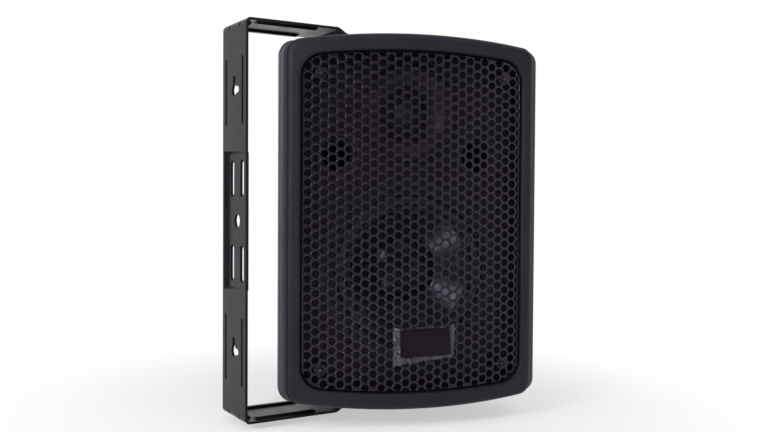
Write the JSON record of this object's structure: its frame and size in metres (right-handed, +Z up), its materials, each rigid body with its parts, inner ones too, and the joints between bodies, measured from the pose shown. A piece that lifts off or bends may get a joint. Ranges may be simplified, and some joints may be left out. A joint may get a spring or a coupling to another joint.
{
  "type": "active wall speaker",
  "caption": "Small moulded active loudspeaker with a bowed perforated grille, turning in a pressed steel U-shaped wall bracket, with amplifier controls on its back.",
  "frame": {"origin": "mouth of the centre hole in the bracket's recessed pad, on the wall side", "axes": "+Z up along the swivel axis, +Y out of the bracket's plate towards the wall; at rest the cabinet is swung about 109 degrees about +Z from facing straight off the wall"},
  "size_m": [0.2137, 0.2264, 0.3022],
  "materials": {
    "bracket_paint": "satin dark grey powder coat",
    "cabinet_plastic": "fine-grained black moulding",
    "grille_paint": "satin black paint",
    "zinc_steel": "bright zinc",
    "black_steel": "black oxide",
    "brass": "turned",
    "rubber": "matt",
    "badge_film": "gloss black plate",
    "basket_steel": "black paint",
    "cone_paper": "smooth black moulded cone",
    "spider_cloth": "woven, impregnated",
    "copper": "enamelled wire",
    "motor_steel": "zinc plated",
    "ferrite": "sintered, matt",
    "tag_fibre": "fibre board",
    "dome_cloth": "coated",
    "panel_black": "black anodised",
    "sink_black": "black anodised",
    "circuit_green": "solder-masked board",
    "chip_black": "moulded",
    "capacitor_sleeve": "sleeved",
    "core_iron": "varnished laminations",
    "winding_tape": "taped",
    "knob_black": "satin moulding",
    "moulding_black": "moulded",
    "jack_metal": "nickel plated",
    "lever_red": "moulded",
    "led_green": "clear tinted"
  },
  "bodies": {
    "bracket": {"wall_bracket": "bracket_paint"},
    "cabinet": {"pivot_bolts": "zinc_steel", "bolt_washers": "zinc_steel", "friction_washers": "rubber", "pivot_inserts": "brass", "front_frame": "cabinet_plastic", "rear_shell": "cabinet_plastic", "cabinet_gasket": "rubber", "cabinet_screws": "black_steel", "front_grille": "grille_paint", "grille_screws": "black_steel", "badge": "badge_film", "woofer_basket": "basket_steel", "woofer_gasket": "rubber", "woofer_surround": "rubber", "woofer_spider": "spider_cloth", "woofer_top_plate": "motor_steel", "woofer_magnet": "ferrite", "woofer_back_plate": "motor_steel", "woofer_screws": "black_steel", "woofer_terminals": "tag_fibre", "tweeter_faceplate": "cabinet_plastic", "tweeter_dome": "dome_cloth", "tweeter_top_plate": "motor_steel", "tweeter_magnet": "ferrite", "tweeter_back_plate": "motor_steel", "tweeter_screws": "black_steel", "left_port_tube": "cabinet_plastic", "right_port_tube": "cabinet_plastic", "amp_panel": "panel_black", "amp_panel_gasket": "rubber", "amp_panel_screws": "black_steel", "heat_sink": "sink_black", "potentiometers": "motor_steel", "amp_board": "circuit_green", "amp_chip": "chip_black", "filter_capacitors": "capacitor_sleeve", "transformer_core": "core_iron", "transformer_winding": "winding_tape", "crossover_board": "circuit_green", "crossover_coils": "copper", "crossover_capacitors": "winding_tape", "input_jacks": "jack_metal", "terminal_block": "moulding_black", "power_switch": "moulding_black", "mains_inlet": "moulding_black", "inlet_blades": "jack_metal", "power_led": "led_green"},
    "cone": {"woofer_cone": "cone_paper", "woofer_dust_cap": "cone_paper", "woofer_voice_coil": "copper"},
    "volume": {"volume_knob": "knob_black"},
    "bass": {"bass_knob": "knob_black"},
    "treble": {"treble_knob": "knob_black"},
    "rocker": {"power_rocker": "moulding_black"},
    "red_clip": {"red_lever": "lever_red"},
    "black_clip": {"black_lever": "moulding_black"}
  },
  "joints": [
    {"name": "cabinet_swivel", "type": "hinge", "parent": "bracket", "child": "cabinet", "pos_m": [0, -0.1353, 0], "axis": [0, 0, 1], "continuous": true},
    {"name": "cone_travel", "type": "slide", "parent": "cabinet", "child": "cone", "axis": [-0.9472, 0.3206, 0], "range_m": [-0.004, 0.004], "stiffness_N_per_m": 1200, "deforming": ["woofer_surround", "woofer_spider"]},
    {"name": "volume_turn", "type": "hinge", "parent": "cabinet", "child": "volume", "pos_m": [0.10029, -0.13969, -0.002], "axis": [0.9472, -0.3206, 0], "range_deg": [-150, 150]},
    {"name": "bass_turn", "type": "hinge", "parent": "cabinet", "child": "bass", "pos_m": [0.09131, -0.16621, -0.002], "axis": [0.9472, -0.3206, 0], "range_deg": [-150, 150]},
    {"name": "treble_turn", "type": "hinge", "parent": "cabinet", "child": "treble", "pos_m": [0.08233, -0.19273, -0.002], "axis": [0.9472, -0.3206, 0], "range_deg": [-150, 150]},
    {"name": "power_rocker_tilt", "type": "hinge", "parent": "cabinet", "child": "rocker", "pos_m": [0.07658, -0.19289, -0.073], "axis": [0, 0, 1], "range_deg": [-16, 0]},
    {"name": "red_clip_press", "type": "hinge", "parent": "cabinet", "child": "red_clip", "pos_m": [0.08752, -0.17654, -0.0365], "axis": [-0.3206, -0.9472, 0], "range_deg": [0, 18], "stiffness_Nm_per_rad": 0.02, "springref_deg": -11.46},
    {"name": "black_clip_press", "type": "hinge", "parent": "cabinet", "child": "black_clip", "pos_m": [0.08175, -0.19359, -0.0365], "axis": [-0.3206, -0.9472, 0], "range_deg": [0, 18], "stiffness_Nm_per_rad": 0.02, "springref_deg": -11.46}
  ]
}
